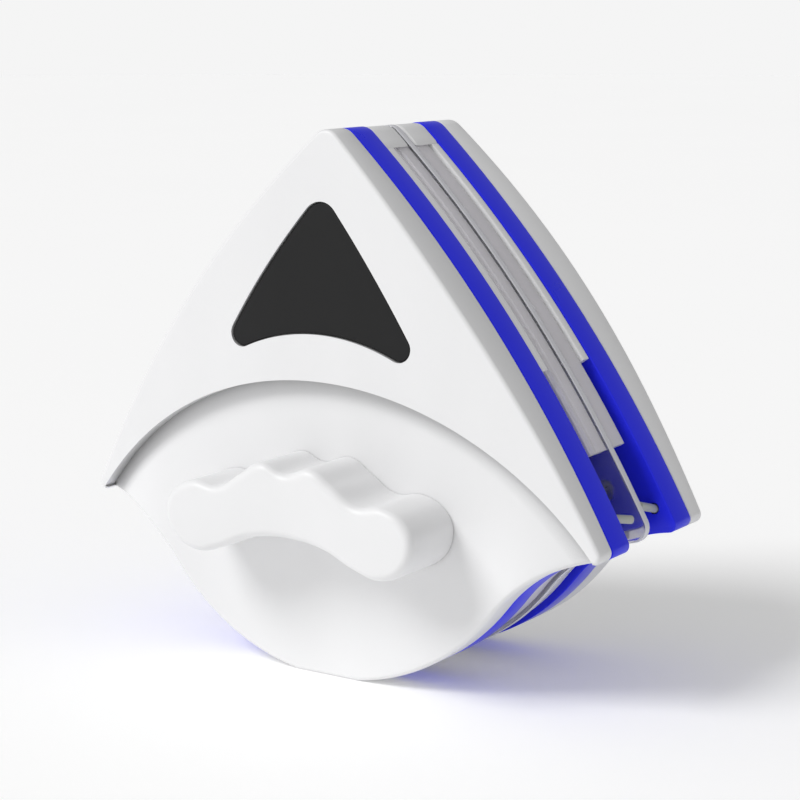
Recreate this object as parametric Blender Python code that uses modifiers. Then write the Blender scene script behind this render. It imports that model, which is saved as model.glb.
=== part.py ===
"""Double-sided magnetic glass cleaner, modelled as the pieces it is assembled from.

The cleaner stands upright on the small flat under its belly. X runs from corner to corner, Y from
the handled front half to the rear half, and Z upwards. Both halves are built by the same functions.
A piece's depth is its distance from the mid-plane, where the clear separator sheet lies, so the two
halves are mirror images in depth. The origin is on the floor, midway between front and back.
"""
import math

import bmesh
import bpy
from mathutils import Matrix, Vector

# Outline of both halves, seen from the front
HALF_WIDTH = 0.0925           # middle to the left or right corner
CORNER_HEIGHT = 0.0465        # floor to the corners
APEX_RISE = 0.1192            # corners to the apex
SIDE_RADIUS = 0.4323          # bowed sides
BELLY_RADIUS = 0.0733         # round belly
FLARE_RADIUS = 0.0478         # hollow curve from belly to corner
CORNER_RADIUS = 0.0025
APEX_RADIUS = 0.0055
STAND_FLAT = 0.022            # flat under the belly that the cleaner stands on

# Clearances
GAP = 0.0003                  # between pieces that touch
HOLE_GAP = 0.0004             # round a screw or post in its hole
SHEET_CLEARANCE = 0.0004      # each side of the sliding sheet

# Depths of the stack of pieces in one half
SHEET_THICKNESS = 0.0032
BLADE_DEPTH = 0.0081
CARRIER_DEPTH = 0.0036
BASE_DEPTH = 0.0103
RIM_DEPTH = 0.0071            # cover wall at its lowest rim
CROWN = 0.0068                # rise of the cover's plate above that rim

# Shells
WALL = 0.0022
FLOOR = 0.0022
CROWN_HALF_WIDTH = 0.095
CROWN_HALF_HEIGHT = 0.080
CROWN_RISE = 0.050            # middle of the crown, above the corners
RECESS_RADIUS = 0.1136
RECESS_RISE = 0.0439          # top of the recess arc, above the corners
RECESS_DEPTH = 0.0048
BELLY_RIM = 0.0101            # cover wall at the belly rim
BLANK_SPARE = 0.003           # spare depth that the dish is cut from
BLANK_SLOPE = 0.2             # how steeply that spare depth starts inside the recess arc
BELLY_RIM_HALF_WIDTH = 0.060  # from here outwards the rim falls towards the corner

# Black inlay
INLAY_TOP_GAP = 0.0198        # sharp apex of its outline to the cover's apex
INLAY_HALF_WIDTH = 0.0386     # to the sharp meeting of side and foot
INLAY_SIDE_RADIUS = 0.285
INLAY_ARCH_GAP = 0.0142       # plate left between the recess arc and the inlay
INLAY_ARCH_RADIUS = 0.066
INLAY_CORNER = 0.0038
INLAY_CREST = 0.0062          # rounding at its top
INLAY_THICKNESS = 0.0014
INLAY_SUNK = 0.0007

# Handle
HANDLE_DEPTH = 0.0565         # front of the grip
HANDLE_EDGE = 0.0032
HANDLE_SCREW_X = 0.033
HANDLE_SCREW_RISE = 0.0028
HANDLE_SCREW_BITE = 0.012

# Blades, their carriers and the sheet, as insets from the outline
BLADE_INSET = 0.0009
BLADE_WIDTH = 0.0024
CARRIER_INSET = 0.0003
CARRIER_WIDTH = 0.0058
CARRIER_END_RISE = 0.049
BLADE_END_RISE = 0.026
TIP_CLIP_HEIGHT = 0.0085
BOTTOM_BLADE_INSET = 0.0015
BOTTOM_BLADE_END = 0.0095     # its end to the corner, sideways
SHEET_INSET = 0.0003
SHEET_CORNER = 0.005
PAD_INSET = 0.015
PAD_CORNER = 0.009

# Magnets and the steel yoke plate behind them
MAGNET_WIDTH = 0.034
MAGNET_HEIGHT = 0.018
MAGNET_DEPTH = 0.008
MAGNET_COLUMN_GAP = 0.005     # between the two columns
MAGNET_ROW_GAP = 0.006        # between the two rows
MAGNET_LOW_RISE = 0.006       # middle of the lower row, above the corners
POCKET_WALL = 0.0014
POCKET_DEPTH = 0.005
POCKET_SINK = 0.0005
YOKE_MARGIN = 0.002
YOKE_THICKNESS = 0.002

# Screws, posts and the tether eye
BOSS_RADIUS = 0.004
SHANK_RADIUS = 0.0014
HEAD_RADIUS = 0.0028
HEAD_DEPTH = 0.0022
HEAD_SUNK = 0.0009
HEAD_ROUND = 0.0006
TIP_RADIUS = 0.0004
TOP_SCREW_DROP = 0.0142       # top screw to the apex
SIDE_SCREW_X = 0.066
SIDE_SCREW_RISE = 0.009
POST_RADIUS = 0.00125
POST_FLANGE = 0.0019
POST_FLANGE_DEPTH = 0.001
POST_FLANGE_TILT = 0.0009     # room for the leaning flange over the base floor
POST_REACH = 0.0035           # depth of the post's tip
POST_TIP_INSET = 0.0026       # tip's axis to the bowed side
POST_ROOT_INSET = 0.0045      # its axis at the base to the bowed side
POST_LOW = 0.0076             # its lower end's axis to the hollow curve
POST_HIGH = 0.0104            # its higher end's axis to the hollow curve
EYE_RISE = 0.028              # eye to the corners' height
EYE_HALF_SPAN = 0.005         # middle of the eye to its wire's middle
EYE_WIRE = 0.0012             # radius of its wire
EYE_PROUD = 0.0055            # out of the dish

# Fineness of curved faces
ARC_STEP = 0.006
ARC_TURN = 0.4                # largest turn between two points of an arc
LEAST_ROUND = 0.0006          # smallest rounding of an inset outline
ROUND_SIDES = 20
EYE_TURNS = 8
CROWN_STEP = 0.016
ROOM_STEP = 0.026
OVERRUN = 0.004               # how far a cutter runs past what it cuts
CUTTER_DEPTH = 0.06           # a crowned cutter before its far face is shaped
ROOF_DEPTH = 0.08             # what shapes that far face

# Stack of depths, from the mid-plane outwards
SHEET_FACE = SHEET_THICKNESS / 2
BLADE_NEAR = SHEET_FACE + SHEET_CLEARANCE
BLADE_FAR = BLADE_NEAR + BLADE_DEPTH
CARRIER_NEAR = BLADE_FAR + GAP
CARRIER_FAR = CARRIER_NEAR + CARRIER_DEPTH
BASE_NEAR = CARRIER_FAR + GAP
BASE_FAR = BASE_NEAR + BASE_DEPTH
COVER_NEAR = BASE_FAR + GAP
RIM = COVER_NEAR + RIM_DEPTH
BEYOND = RIM + CROWN + OVERRUN
INLAY_BACK = INLAY_SUNK + INLAY_THICKNESS + GAP
MAGNET_COLUMN = (MAGNET_WIDTH + MAGNET_COLUMN_GAP) / 2
MAGNET_ROW_STEP = MAGNET_HEIGHT + MAGNET_ROW_GAP

# Circles that the outline is made of
BELLY_CENTRE = Vector((0, math.sqrt(BELLY_RADIUS ** 2 - (STAND_FLAT / 2) ** 2)))
CORNER = Vector((HALF_WIDTH, CORNER_HEIGHT))
APEX = Vector((0, CORNER_HEIGHT + APEX_RISE))
RECESS_CENTRE = Vector((0, CORNER_HEIGHT + RECESS_RISE - RECESS_RADIUS))


def circles_meet(centre_a, radius_a, centre_b, radius_b):
    """Both points that lie on two circles, the one on the left of the line from a to b first."""
    across = centre_b - centre_a
    span = across.length
    along = (radius_a ** 2 - radius_b ** 2 + span ** 2) / (2 * span)
    up = math.sqrt(max(radius_a ** 2 - along ** 2, 0))
    unit = across / span
    normal = Vector((-unit.y, unit.x))
    foot = centre_a + unit * along
    return foot + normal * up, foot - normal * up


SIDE_CENTRE = circles_meet(CORNER, SIDE_RADIUS, APEX, SIDE_RADIUS)[0]
FLARE_CENTRE = circles_meet(BELLY_CENTRE, BELLY_RADIUS + FLARE_RADIUS, CORNER, FLARE_RADIUS)[1]


def arc(centre, radius, start, end):
    """Points on a circle from one point's direction to another's, the short way round."""
    first = math.atan2(start.y - centre.y, start.x - centre.x)
    turn = math.atan2(end.y - centre.y, end.x - centre.x) - first
    turn = (turn + math.pi) % (2 * math.pi) - math.pi
    count = max(3, round(abs(turn) * radius / ARC_STEP), round(abs(turn) / ARC_TURN))
    angles = [first + turn * i / count for i in range(count + 1)]
    return [centre + Vector((math.cos(a), math.sin(a))) * radius for a in angles]


def mirrored(points):
    """A right-hand run of points, reversed on the left."""
    return [Vector((-p.x, p.y)) for p in reversed(points)]


def side_arc(inset, start, end):
    """Right side of the outline, moved in by an inset."""
    return arc(SIDE_CENTRE, SIDE_RADIUS - inset, start, end)


def side_point(inset, rise):
    """Point of the right side at a height above the corners."""
    radius = SIDE_RADIUS - inset
    drop = CORNER_HEIGHT + rise - SIDE_CENTRE.y
    return Vector((SIDE_CENTRE.x + math.sqrt(radius ** 2 - drop ** 2), CORNER_HEIGHT + rise))


def belly_run(inset, start):
    """Right half of the lower edge: the flare, the belly and half of the standing flat."""
    joint = BELLY_CENTRE + (FLARE_CENTRE - BELLY_CENTRE).normalized() * (BELLY_RADIUS - inset)
    flat = Vector((math.sqrt((BELLY_RADIUS - inset) ** 2 - (BELLY_CENTRE.y - inset) ** 2), inset))
    flare = arc(FLARE_CENTRE, FLARE_RADIUS + inset, start, joint)
    belly = arc(BELLY_CENTRE, BELLY_RADIUS - inset, joint, flat)
    return flare + belly[1:]


def outline(inset=0.0, corner_radius=CORNER_RADIUS, apex_radius=APEX_RADIUS):
    """Closed outline of a half, clockwise from the apex, moved in by an inset."""
    side = SIDE_RADIUS - inset
    flare = FLARE_RADIUS + inset
    top_round = max(apex_radius - inset, LEAST_ROUND)
    round_off = max(corner_radius - inset, LEAST_ROUND)
    top = Vector((0, SIDE_CENTRE.y + math.sqrt((side - top_round) ** 2 - SIDE_CENTRE.x ** 2)))
    tip = circles_meet(SIDE_CENTRE, side - round_off, FLARE_CENTRE, flare + round_off)[0]
    side_top = SIDE_CENTRE + (top - SIDE_CENTRE).normalized() * side
    side_low = SIDE_CENTRE + (tip - SIDE_CENTRE).normalized() * side
    flare_start = FLARE_CENTRE + (tip - FLARE_CENTRE).normalized() * flare
    right = arc(top, top_round, top + Vector((0, top_round)), side_top)
    right += side_arc(inset, side_top, side_low)[1:]
    right += arc(tip, round_off, side_low, flare_start)[1:]
    right += belly_run(inset, flare_start)[1:]
    return right + mirrored(right)[:-1]


def recess_height(x):
    """Height of the recess arc at a distance from the middle."""
    return RECESS_CENTRE.y + math.sqrt(max(RECESS_RADIUS ** 2 - x ** 2, 0))


def lower_edge(x):
    """Height of the outline's lower edge at a distance from the middle."""
    x = abs(x)
    joint = BELLY_CENTRE + (FLARE_CENTRE - BELLY_CENTRE).normalized() * BELLY_RADIUS
    if x <= STAND_FLAT / 2:
        return 0.0
    if x <= joint.x:
        return BELLY_CENTRE.y - math.sqrt(BELLY_RADIUS ** 2 - x ** 2)
    return FLARE_CENTRE.y + math.sqrt(max(FLARE_RADIUS ** 2 - (x - FLARE_CENTRE.x) ** 2, 0))


def plate_depth(x, z):
    """Depth of the cover's crowned plate."""
    across = max(0.0, 1 - (x / CROWN_HALF_WIDTH) ** 2)
    upwards = max(0.0, 1 - ((z - CORNER_HEIGHT - CROWN_RISE) / CROWN_HALF_HEIGHT) ** 2)
    return RIM + CROWN * across * upwards


def dish_depth(x, z):
    """Depth of the recessed dish: sunk along the recess arc, full at the belly rim."""
    top = recess_height(x)
    sunk = plate_depth(x, top) - RECESS_DEPTH
    share = min(1.0, max(0.0, (abs(x) - BELLY_RIM_HALF_WIDTH) / (HALF_WIDTH - BELLY_RIM_HALF_WIDTH)))
    ease = share * share * (3 - 2 * share)
    rim = (COVER_NEAR + BELLY_RIM) * (1 - ease) + sunk * ease
    down = (top - z) / max(top - lower_edge(x), 0.001)
    return sunk + (rim - sunk) * min(1.0, max(0.0, down))


def blank_depth(x, z):
    """Depth of the cover before its dish is cut: the plate, carried on thicker over the belly."""
    inside = RECESS_RADIUS - (Vector((x, z)) - RECESS_CENTRE).length - CROWN_STEP
    spare = min(BLANK_SPARE, max(0.0, inside * BLANK_SLOPE))
    return plate_depth(x, max(z, recess_height(x))) + spare


def cover_depth(x, z):
    """Depth of whichever of plate and dish is the cover's face at a point."""
    in_recess = (Vector((x, z)) - RECESS_CENTRE).length < RECESS_RADIUS
    return dish_depth(x, z) if in_recess else plate_depth(x, z)


# Front to back: the deepest reach of each half sets where the mid-plane lies
EYE_DEPTH = dish_depth(0, CORNER_HEIGHT + EYE_RISE) + EYE_PROUD
REAR_REACH = max(EYE_DEPTH, RIM + CROWN)
MID_Y = (HANDLE_DEPTH - REAR_REACH) / 2


def material(name, colour, roughness, metallic=0.0, alpha=1.0):
    """A Principled material of one plain finish."""
    made = bpy.data.materials.new(name)
    made.use_nodes = True
    shader = made.node_tree.nodes["Principled BSDF"]
    shader.inputs["Base Color"].default_value = (*colour, 1)
    shader.inputs["Roughness"].default_value = roughness
    shader.inputs["Metallic"].default_value = metallic
    shader.inputs["Alpha"].default_value = alpha
    made.diffuse_color = (*colour, alpha)
    return made


def empty_collection(name):
    """A new collection linked to the scene."""
    made = bpy.data.collections.new(name)
    bpy.context.scene.collection.children.link(made)
    return made


def add_object(name, mesh, finish=None):
    """Link a piece to the cleaner's collection, or an unfinished shape to the cutters."""
    made = bpy.data.objects.new(name, mesh)
    if finish:
        mesh.materials.append(finish)
        CLEANER.objects.link(made)
        made.parent = FRAME
    else:
        CUTTERS.objects.link(made)
        made.hide_render = True
        made.display_type = "WIRE"
    return made


def mesh_of_curve(curve, matrix):
    """The closed mesh of a curve, placed by a matrix."""
    holder = bpy.data.objects.new("curve", curve)
    bpy.context.scene.collection.objects.link(holder)
    bpy.context.view_layer.update()
    seen = holder.evaluated_get(bpy.context.evaluated_depsgraph_get())
    mesh = bpy.data.meshes.new_from_object(seen)
    bpy.data.objects.remove(holder)
    shape = bmesh.new()
    shape.from_mesh(mesh)
    bmesh.ops.remove_doubles(shape, verts=shape.verts, dist=0.00001)
    bmesh.ops.transform(shape, matrix=matrix, verts=shape.verts)
    bmesh.ops.recalc_face_normals(shape, faces=shape.faces)
    shape.to_mesh(mesh)
    shape.free()
    return mesh


def slab_mesh(points, y_front, y_back):
    """An outline in X and Z, filled and given its thickness along Y."""
    curve = bpy.data.curves.new("outline", "CURVE")
    curve.dimensions = "2D"
    curve.fill_mode = "BOTH"
    curve.extrude = abs(y_back - y_front) / 2
    spline = curve.splines.new("POLY")
    spline.points.add(len(points) - 1)
    for point, place in zip(spline.points, points):
        point.co = (place.x, place.y, 0, 1)
    spline.use_cyclic_u = True
    upright = Matrix.Translation((0, (y_front + y_back) / 2, 0)) @ Matrix.Rotation(math.pi / 2, 4, "X")
    return mesh_of_curve(curve, upright)


def slab(name, side, points, near, far, finish=None):
    """A flat piece between two depths of one half."""
    mesh = slab_mesh(points, MID_Y + side * near, MID_Y + side * far)
    return add_object(name, mesh, finish)


def crowned_slab(name, side, points, near, depth_at, step=CROWN_STEP):
    """A cutter over an outline, from a flat near face to a far face that follows a depth."""
    made = slab(name, side, points, near, near + CUTTER_DEPTH)
    shape = bmesh.new()
    columns = round(2 * (HALF_WIDTH + OVERRUN) / step)
    rows = round((APEX.y + 2 * OVERRUN) / step)
    bmesh.ops.create_grid(shape, x_segments=columns, y_segments=rows, size=1)
    for vert in shape.verts:
        x = vert.co.x * (HALF_WIDTH + OVERRUN)
        z = APEX.y / 2 + vert.co.y * (APEX.y / 2 + OVERRUN)
        vert.co = (x, MID_Y + side * depth_at(x, z), z)
    roof = bmesh.ops.extrude_face_region(shape, geom=shape.faces[:])
    moved = [part for part in roof["geom"] if isinstance(part, bmesh.types.BMVert)]
    bmesh.ops.translate(shape, verts=moved, vec=(0, side * ROOF_DEPTH, 0))
    bmesh.ops.recalc_face_normals(shape, faces=shape.faces)
    mesh = bpy.data.meshes.new(name + "_roof")
    shape.to_mesh(mesh)
    shape.free()
    combine(made, add_object(name + "_roof", mesh), "DIFFERENCE", "MANIFOLD")
    return made


def combine(target, tool, operation, solver="EXACT"):
    """Join, cut or trim a piece by another shape."""
    step = target.modifiers.new(tool.name, "BOOLEAN")
    step.operation = operation
    step.solver = solver
    step.object = tool


def block(name, side, centre, size, near, far, finish=None):
    """A box of one half, from its middle and its size in X and Z."""
    half = size / 2
    ways = ((-1, -1), (1, -1), (1, 1), (-1, 1))
    points = [Vector((centre.x + i * half.x, centre.y + k * half.y)) for i, k in ways]
    return slab(name, side, points, near, far, finish)


def round_mesh(profile, axis_from, axis_to, name):
    """A turned solid from a list of radius and share of the way along its axis."""
    start = Vector(axis_from)
    along = Vector(axis_to) - start
    stations = [(0, profile[0][1])] + profile + [(0, profile[-1][1])]
    shape = bmesh.new()
    line = [shape.verts.new((radius, 0, share * along.length)) for radius, share in stations]
    edges = [shape.edges.new(pair) for pair in zip(line, line[1:])]
    bmesh.ops.spin(shape, geom=line + edges, cent=(0, 0, 0), axis=(0, 0, 1), angle=2 * math.pi,
                   steps=ROUND_SIDES, use_merge=True)
    bmesh.ops.remove_doubles(shape, verts=shape.verts, dist=0.00001)
    turn = along.to_track_quat("Z", "Y").to_matrix().to_4x4()
    bmesh.ops.transform(shape, matrix=Matrix.Translation(start) @ turn, verts=shape.verts)
    bmesh.ops.recalc_face_normals(shape, faces=shape.faces)
    mesh = bpy.data.meshes.new(name)
    shape.to_mesh(mesh)
    shape.free()
    mesh.shade_smooth()
    mesh.set_sharp_from_angle(angle=math.radians(35))
    return mesh


def place(side, x, depth, z):
    """A point of one half."""
    return Vector((x, MID_Y + side * depth, z))


def rod(name, side, x, z, near, far, radius, finish=None):
    """A round bar of one half, square to the mid-plane."""
    mesh = round_mesh([(radius, 0), (radius, 1)], place(side, x, near, z), place(side, x, far, z), name)
    return add_object(name, mesh, finish)


def screw(name, side, x, z, head_near, tip, finish):
    """A pan-head screw whose head is at one depth and whose tip is at another."""
    length = abs(tip - head_near)
    neck = HEAD_DEPTH / length
    point = 1 - SHANK_RADIUS / length
    profile = [(HEAD_RADIUS - HEAD_ROUND, 0), (HEAD_RADIUS, HEAD_ROUND / length), (HEAD_RADIUS, neck)]
    profile += [(SHANK_RADIUS, neck), (SHANK_RADIUS, point), (TIP_RADIUS, 1)]
    mesh = round_mesh(profile, place(side, x, head_near, z), place(side, x, tip, z), name)
    return add_object(name, mesh, finish)


def cover_screw_places():
    """Name, X and Z of the three screws that hold a cover to its base."""
    low = CORNER_HEIGHT + SIDE_SCREW_RISE
    top = APEX.y - TOP_SCREW_DROP
    return (("top", 0.0, top), ("left", -SIDE_SCREW_X, low), ("right", SIDE_SCREW_X, low))


def magnet_places():
    """Number and middle of each of the four magnets."""
    rows = (MAGNET_LOW_RISE, MAGNET_LOW_RISE + MAGNET_ROW_STEP)
    middles = [Vector((i * MAGNET_COLUMN, CORNER_HEIGHT + rise)) for rise in rows for i in (-1, 1)]
    return list(enumerate(middles, start=1))


def inner_corner(side_inset, flare_inset):
    """Point by the right corner, at one inset from the side and another from the hollow curve."""
    return circles_meet(SIDE_CENTRE, SIDE_RADIUS - side_inset, FLARE_CENTRE, FLARE_RADIUS + flare_inset)[0]


def post_axis(side, hand, near):
    """Point of a leaning post's axis at a depth. One post of a half falls to its tip, one rises."""
    falls = side * hand < 0
    tip = inner_corner(POST_TIP_INSET, POST_LOW if falls else POST_HIGH)
    root = inner_corner(POST_ROOT_INSET, POST_HIGH if falls else POST_LOW)
    spot = tip.lerp(root, (near - POST_REACH) / (BASE_NEAR - POST_REACH))
    return place(side, hand * spot.x, near, spot.y)


def make_base(half, side):
    """Blue tray: outer wall, floor at the working face, screw bosses and magnet pockets."""
    base = slab(half + "_base", side, outline(), BASE_NEAR, BASE_FAR, BLUE)
    inside = slab(half + "_base_inside", side, outline(WALL), BASE_NEAR + FLOOR, BASE_FAR + OVERRUN)
    combine(base, inside, "DIFFERENCE", "MANIFOLD")
    pocket_near = BASE_NEAR + FLOOR - POCKET_SINK
    room = Vector((MAGNET_WIDTH, MAGNET_HEIGHT)) + Vector((2, 2)) * GAP
    frame = room + Vector((2, 2)) * POCKET_WALL
    for number, middle in magnet_places():
        label = f"{half}_pocket_{number}"
        ring = block(label + "_ring", side, middle, frame, pocket_near, pocket_near + POCKET_DEPTH)
        combine(base, ring, "UNION", "MANIFOLD")
        hollow = block(label, side, middle, room, pocket_near, pocket_near + POCKET_DEPTH + OVERRUN)
        combine(base, hollow, "DIFFERENCE", "MANIFOLD")
    for label, x, z in cover_screw_places():
        boss = rod(f"{half}_base_boss_{label}", side, x, z, BASE_NEAR + FLOOR / 2, BASE_FAR, BOSS_RADIUS)
        combine(base, boss, "UNION", "MANIFOLD")
        start = BASE_NEAR - OVERRUN
        end = BASE_FAR + OVERRUN
        seat = (BASE_NEAR + HEAD_SUNK + HEAD_DEPTH + GAP - start) / (end - start)
        profile = [(HEAD_RADIUS + HOLE_GAP, 0), (HEAD_RADIUS + HOLE_GAP, seat)]
        profile += [(SHANK_RADIUS + HOLE_GAP, seat), (SHANK_RADIUS + HOLE_GAP, 1)]
        bore_mesh = round_mesh(profile, place(side, x, start, z), place(side, x, end, z), "bore")
        combine(base, add_object(f"{half}_base_bore_{label}", bore_mesh), "DIFFERENCE", "MANIFOLD")
    for label, hand in (("left", -1), ("right", 1)):
        hole_mesh = round_mesh([(POST_RADIUS + HOLE_GAP, 0), (POST_RADIUS + HOLE_GAP, 1)],
                               post_axis(side, hand, BASE_NEAR - OVERRUN / 2),
                               post_axis(side, hand, BASE_NEAR + FLOOR + OVERRUN / 2), "hole")
        combine(base, add_object(f"{half}_post_hole_{label}", hole_mesh), "DIFFERENCE", "MANIFOLD")


def make_cover(half, side):
    """White crowned shell with the sunk dish, the inlay's pocket and screw bosses."""
    cover = slab(half + "_cover", side, outline(), COVER_NEAR, BEYOND, WHITE)
    crown = crowned_slab(half + "_crown", side, outline(-OVERRUN), COVER_NEAR - OVERRUN, blank_depth)
    combine(cover, crown, "INTERSECT", "MANIFOLD")
    sink = crowned_slab(half + "_dish", side, outline(-OVERRUN), COVER_NEAR - OVERRUN, dish_depth)
    recess = slab(half + "_recess", side, recess_disc(0), COVER_NEAR - OVERRUN / 2, BEYOND + OVERRUN)
    combine(recess, sink, "DIFFERENCE", "MANIFOLD")
    combine(cover, recess, "DIFFERENCE", "MANIFOLD")
    low_room = crowned_slab(half + "_room", side, outline(WALL), COVER_NEAR - OVERRUN,
                            lambda x, z: dish_depth(x, z) - WALL, ROOM_STEP)
    combine(cover, low_room, "DIFFERENCE", "MANIFOLD")
    high_room = crowned_slab(half + "_high_room", side, outline(WALL + GAP), COVER_NEAR - OVERRUN / 2,
                             lambda x, z: plate_depth(x, z) - INLAY_BACK - WALL, ROOM_STEP)
    keep = slab(half + "_keep", side, recess_disc(WALL), COVER_NEAR - 2 * OVERRUN, BEYOND + OVERRUN)
    combine(high_room, keep, "DIFFERENCE", "MANIFOLD")
    combine(cover, high_room, "DIFFERENCE", "MANIFOLD")
    pocket = crowned_slab(half + "_inlay_floor", side, inlay_outline(OVERRUN / 2), COVER_NEAR - OVERRUN,
                          lambda x, z: plate_depth(x, z) - INLAY_BACK)
    opening = slab(half + "_inlay_opening", side, inlay_outline(GAP), COVER_NEAR, BEYOND)
    combine(opening, pocket, "DIFFERENCE", "MANIFOLD")
    combine(cover, opening, "DIFFERENCE", "MANIFOLD")
    for label, x, z in cover_screw_places():
        roof = cover_depth(x, z) - WALL
        boss = rod(f"{half}_cover_boss_{label}", side, x, z, COVER_NEAR, roof + WALL / 3, BOSS_RADIUS)
        combine(cover, boss, "UNION", "MANIFOLD")
        bore = rod(f"{half}_cover_bore_{label}", side, x, z, COVER_NEAR - OVERRUN, roof,
                   SHANK_RADIUS + HOLE_GAP)
        combine(cover, bore, "DIFFERENCE", "MANIFOLD")


def recess_disc(outset):
    """Upper half of the recess circle, which reaches below the floor."""
    right = arc(RECESS_CENTRE, RECESS_RADIUS + outset, Vector((1, RECESS_CENTRE.y)), Vector((0, 1)))
    return right + mirrored(right)[1:]


def inlay_outline(outset=0.0):
    """Rounded triangle of the inlay, with an arched lower edge."""
    top = APEX - Vector((0, INLAY_TOP_GAP))
    arch = INLAY_ARCH_RADIUS
    arch_centre = Vector((0, CORNER_HEIGHT + RECESS_RISE + INLAY_ARCH_GAP - arch))
    foot_height = arch_centre.y + math.sqrt(arch ** 2 - INLAY_HALF_WIDTH ** 2)
    foot = Vector((INLAY_HALF_WIDTH, foot_height))
    centre = circles_meet(foot, INLAY_SIDE_RADIUS, top, INLAY_SIDE_RADIUS)[0]
    side = INLAY_SIDE_RADIUS + outset
    arch -= outset
    rounding = INLAY_CORNER + outset
    top_round = INLAY_CREST + outset
    crest = Vector((0, centre.y + math.sqrt((side - top_round) ** 2 - centre.x ** 2)))
    toe = circles_meet(centre, side - rounding, arch_centre, arch + rounding)[0]
    side_top = centre + (crest - centre).normalized() * side
    side_low = centre + (toe - centre).normalized() * side
    arch_start = arch_centre + (toe - arch_centre).normalized() * arch
    right = arc(crest, top_round, crest + Vector((0, top_round)), side_top)
    right += arc(centre, side, side_top, side_low)[1:]
    right += arc(toe, rounding, side_low, arch_start)[1:]
    right += arc(arch_centre, arch, arch_start, arch_centre + Vector((0, arch)))[1:]
    return right + mirrored(right)[1:-1]


def make_inlay(half, side):
    """Black panel set into the plate, a little below its face."""
    inlay = slab(half + "_inlay", side, inlay_outline(), RIM - INLAY_THICKNESS, RIM + CROWN, BLACK)
    face = crowned_slab(half + "_inlay_face", side, outline(), COVER_NEAR - OVERRUN,
                        lambda x, z: plate_depth(x, z) - INLAY_SUNK)
    back = crowned_slab(half + "_inlay_back", side, outline(), COVER_NEAR - 2 * OVERRUN,
                        lambda x, z: plate_depth(x, z) - INLAY_SUNK - INLAY_THICKNESS)
    combine(inlay, face, "INTERSECT")
    combine(inlay, back, "DIFFERENCE")


def handle_outline():
    """Grip outline: two end lobes, three finger hollows above and an arch below."""
    right = [(0.0, 19.2), (8.9, 21.6), (16.6, 17.5), (24.6, 12.8), (34.4, 13.3), (42.0, 9.4),
             (44.3, 3.4), (41.2, -4.2), (33.0, -8.0), (24.0, -6.1), (13.5, -1.7), (0.0, 0.0)]
    points = [Vector((x, z)) * 0.001 for x, z in right]
    return points + mirrored(points)[1:-1]


def make_handle(side):
    """White arched grip, cut at the back to sit on the dish."""
    curve = bpy.data.curves.new("grip", "CURVE")
    curve.dimensions = "2D"
    curve.fill_mode = "BOTH"
    curve.resolution_u = 4
    back = COVER_NEAR + GAP
    curve.extrude = (HANDLE_DEPTH - back) / 2
    points = handle_outline()
    spline = curve.splines.new("BEZIER")
    spline.bezier_points.add(len(points) - 1)
    for knot, spot in zip(spline.bezier_points, points):
        knot.co = (spot.x, spot.y, 0)
        knot.handle_left_type = "AUTO"
        knot.handle_right_type = "AUTO"
    spline.use_cyclic_u = True
    centre = place(side, 0, (HANDLE_DEPTH + back) / 2, CORNER_HEIGHT)
    mesh = mesh_of_curve(curve, Matrix.Translation(centre) @ Matrix.Rotation(math.pi / 2, 4, "X"))
    handle = add_object("handle", mesh, WHITE)
    edge = handle.modifiers.new("edge", "BEVEL")
    edge.width = HANDLE_EDGE
    edge.segments = 2
    edge.limit_method = "ANGLE"
    edge.angle_limit = math.radians(50)
    seat = crowned_slab("handle_seat", side, outline(), COVER_NEAR - OVERRUN,
                        lambda x, z: dish_depth(x, z) + GAP)
    combine(handle, seat, "DIFFERENCE")
    z = CORNER_HEIGHT + HANDLE_SCREW_RISE
    for label, hand in (("left", -1), ("right", 1)):
        x = hand * HANDLE_SCREW_X
        face = dish_depth(x, z)
        head = face - WALL - 2 * GAP - HEAD_DEPTH
        tip = face + HANDLE_SCREW_BITE
        screw("handle_screw_" + label, side, x, z, head, tip, STEEL)
        bore = rod("handle_bore_" + label, side, x, z, COVER_NEAR, tip + GAP, SHANK_RADIUS + HOLE_GAP)
        combine(handle, bore, "DIFFERENCE")
        combine(bpy.data.objects["front_cover"], bore, "DIFFERENCE", "MANIFOLD")


def make_magnets(half, side):
    """Four block magnets in the base's pockets and the steel yoke plate across their backs."""
    near = BASE_NEAR + FLOOR - POCKET_SINK + GAP
    far = near + MAGNET_DEPTH
    size = Vector((MAGNET_WIDTH, MAGNET_HEIGHT))
    for number, middle in magnet_places():
        block(f"{half}_magnet_{number}", side, middle, size, near, far, NICKEL)
    width = 2 * MAGNET_COLUMN + MAGNET_WIDTH + 2 * YOKE_MARGIN
    height = MAGNET_ROW_STEP + MAGNET_HEIGHT + 2 * YOKE_MARGIN
    centre = Vector((0, CORNER_HEIGHT + MAGNET_LOW_RISE + MAGNET_ROW_STEP / 2))
    back = far + GAP
    block(half + "_yoke_plate", side, centre, Vector((width, height)), back, back + YOKE_THICKNESS, STEEL)


def make_cover_screws(half, side):
    """Screws from the working face through the base into the cover's bosses."""
    for label, x, z in cover_screw_places():
        tip = cover_depth(x, z) - WALL - 2 * GAP
        screw(f"{half}_screw_{label}", side, x, z, BASE_NEAR + HEAD_SUNK, tip, STEEL)


def strip(inset, width, low_rise, high_rise):
    """Closed outline of a strip along the right side."""
    deep = inset + width
    outer = side_arc(inset, side_point(inset, high_rise), side_point(inset, low_rise))
    inner = side_arc(deep, side_point(deep, low_rise), side_point(deep, high_rise))
    return outer + inner


def tip_clip_outline():
    """The outline's apex, cut off level, from its left foot to its right foot."""
    foot = side_point(CARRIER_INSET, APEX_RISE - TIP_CLIP_HEIGHT)
    top = [p for p in outline(CARRIER_INSET) if p.y > foot.y + GAP]
    return sorted(top + mirrored([foot]) + [foot], key=lambda p: p.x)


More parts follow.
